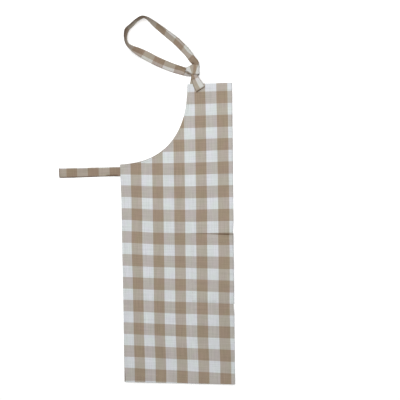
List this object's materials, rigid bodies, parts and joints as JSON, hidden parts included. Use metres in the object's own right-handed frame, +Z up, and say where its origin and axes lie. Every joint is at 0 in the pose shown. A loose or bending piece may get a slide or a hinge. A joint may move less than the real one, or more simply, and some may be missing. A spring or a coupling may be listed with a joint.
{
  "type": "kitchen apron",
  "caption": "Gingham bib apron folded in half and lying flat, its neck strap tied in a knot, with pocket and waist ties.",
  "frame": {"origin": "middle of the outline's box, on the surface that the apron lies on", "axes": "+Y from the hem to the bib, +Z up from the surface, the fold of the cloth on the +X side"},
  "size_m": [0.5116, 1.0376, 0.0254],
  "materials": {
    "gingham_cotton": "matte woven cotton, tan and white check",
    "pocket_cotton": "matte woven cotton, tan and white check",
    "strap_cotton": "matte woven cotton, tan and white check"
  },
  "bodies": {
    "root": {"apron_body": "gingham_cotton", "pocket": "pocket_cotton", "neck_strap": "strap_cotton", "neck_strap_short": "strap_cotton", "waist_tie_upper": "strap_cotton", "waist_tie_lower": "strap_cotton"}
  },
  "joints": []
}
